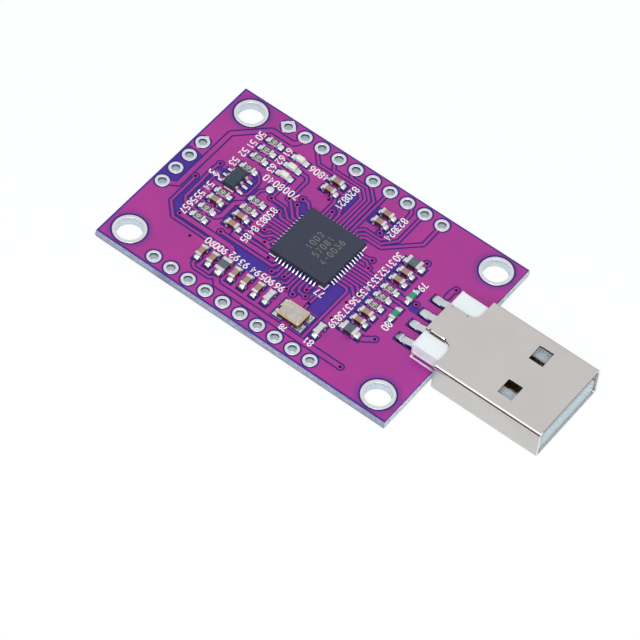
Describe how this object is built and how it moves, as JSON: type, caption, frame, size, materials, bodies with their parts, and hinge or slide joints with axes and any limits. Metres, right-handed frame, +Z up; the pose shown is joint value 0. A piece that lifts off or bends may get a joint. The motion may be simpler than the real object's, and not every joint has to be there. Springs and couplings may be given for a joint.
{
  "type": "usb to serial adapter module",
  "caption": "Small bare circuit board with a USB plug at one end and plated pin holes along three edges, which turns USB signals into serial ones.",
  "frame": {"origin": "middle of the four mounting holes, on the board's underside", "axes": "+X along the board towards the plug's mouth, +Y across the board, +Z up from the parts side"},
  "size_m": [0.0576, 0.0284, 0.0044],
  "materials": {
    "solder_mask": "glossy solder mask over fibreglass laminate",
    "tinned_copper": "bright tin over copper",
    "solder": "soft solder",
    "nickel_sheet": "nickel-plated sheet, satin",
    "contact_metal": "gold over copper alloy",
    "blue_white_plastic": "moulded, satin",
    "chip_epoxy": "dark moulding compound, fine matt grain",
    "white_ceramic": "fired alumina",
    "brown_ceramic": "fired dielectric",
    "pale_ceramic": "fired dielectric",
    "grey_ferrite": "fired ferrite",
    "green_ceramic": "glazed",
    "black_glaze": "overglaze",
    "lamp_resin": "cloudy clear resin",
    "gold_ring": "gold plating",
    "lid_metal": "nickel-iron lid, satin"
  },
  "bodies": {
    "root": {"circuit_board": "solder_mask", "main_chip": "chip_epoxy", "main_chip_terminals": "solder", "memory_chip": "chip_epoxy", "memory_chip_leads": "tinned_copper", "memory_chip_solder": "solder", "crystal_case": "white_ceramic", "crystal_ring": "gold_ring", "crystal_lid": "lid_metal", "crystal_solder": "solder", "test_pad": "solder", "usb_shell": "nickel_sheet", "usb_insulator": "blue_white_plastic", "usb_power_contacts": "contact_metal", "usb_data_contacts": "contact_metal", "usb_contact_solder": "solder", "usb_shell_solder": "solder", "resistor_cores": "white_ceramic", "resistor_end_caps": "tinned_copper", "resistor_coats": "black_glaze", "capacitor_cores": "brown_ceramic", "capacitor_end_caps": "tinned_copper", "pale_capacitor_cores": "pale_ceramic", "pale_capacitor_end_caps": "tinned_copper", "bead_cores": "grey_ferrite", "bead_end_caps": "tinned_copper", "green_chip_cores": "green_ceramic", "green_chip_end_caps": "tinned_copper", "led_cores": "white_ceramic", "led_end_caps": "tinned_copper", "led_lenses": "lamp_resin", "chip_solder_joints": "solder"}
  },
  "joints": []
}
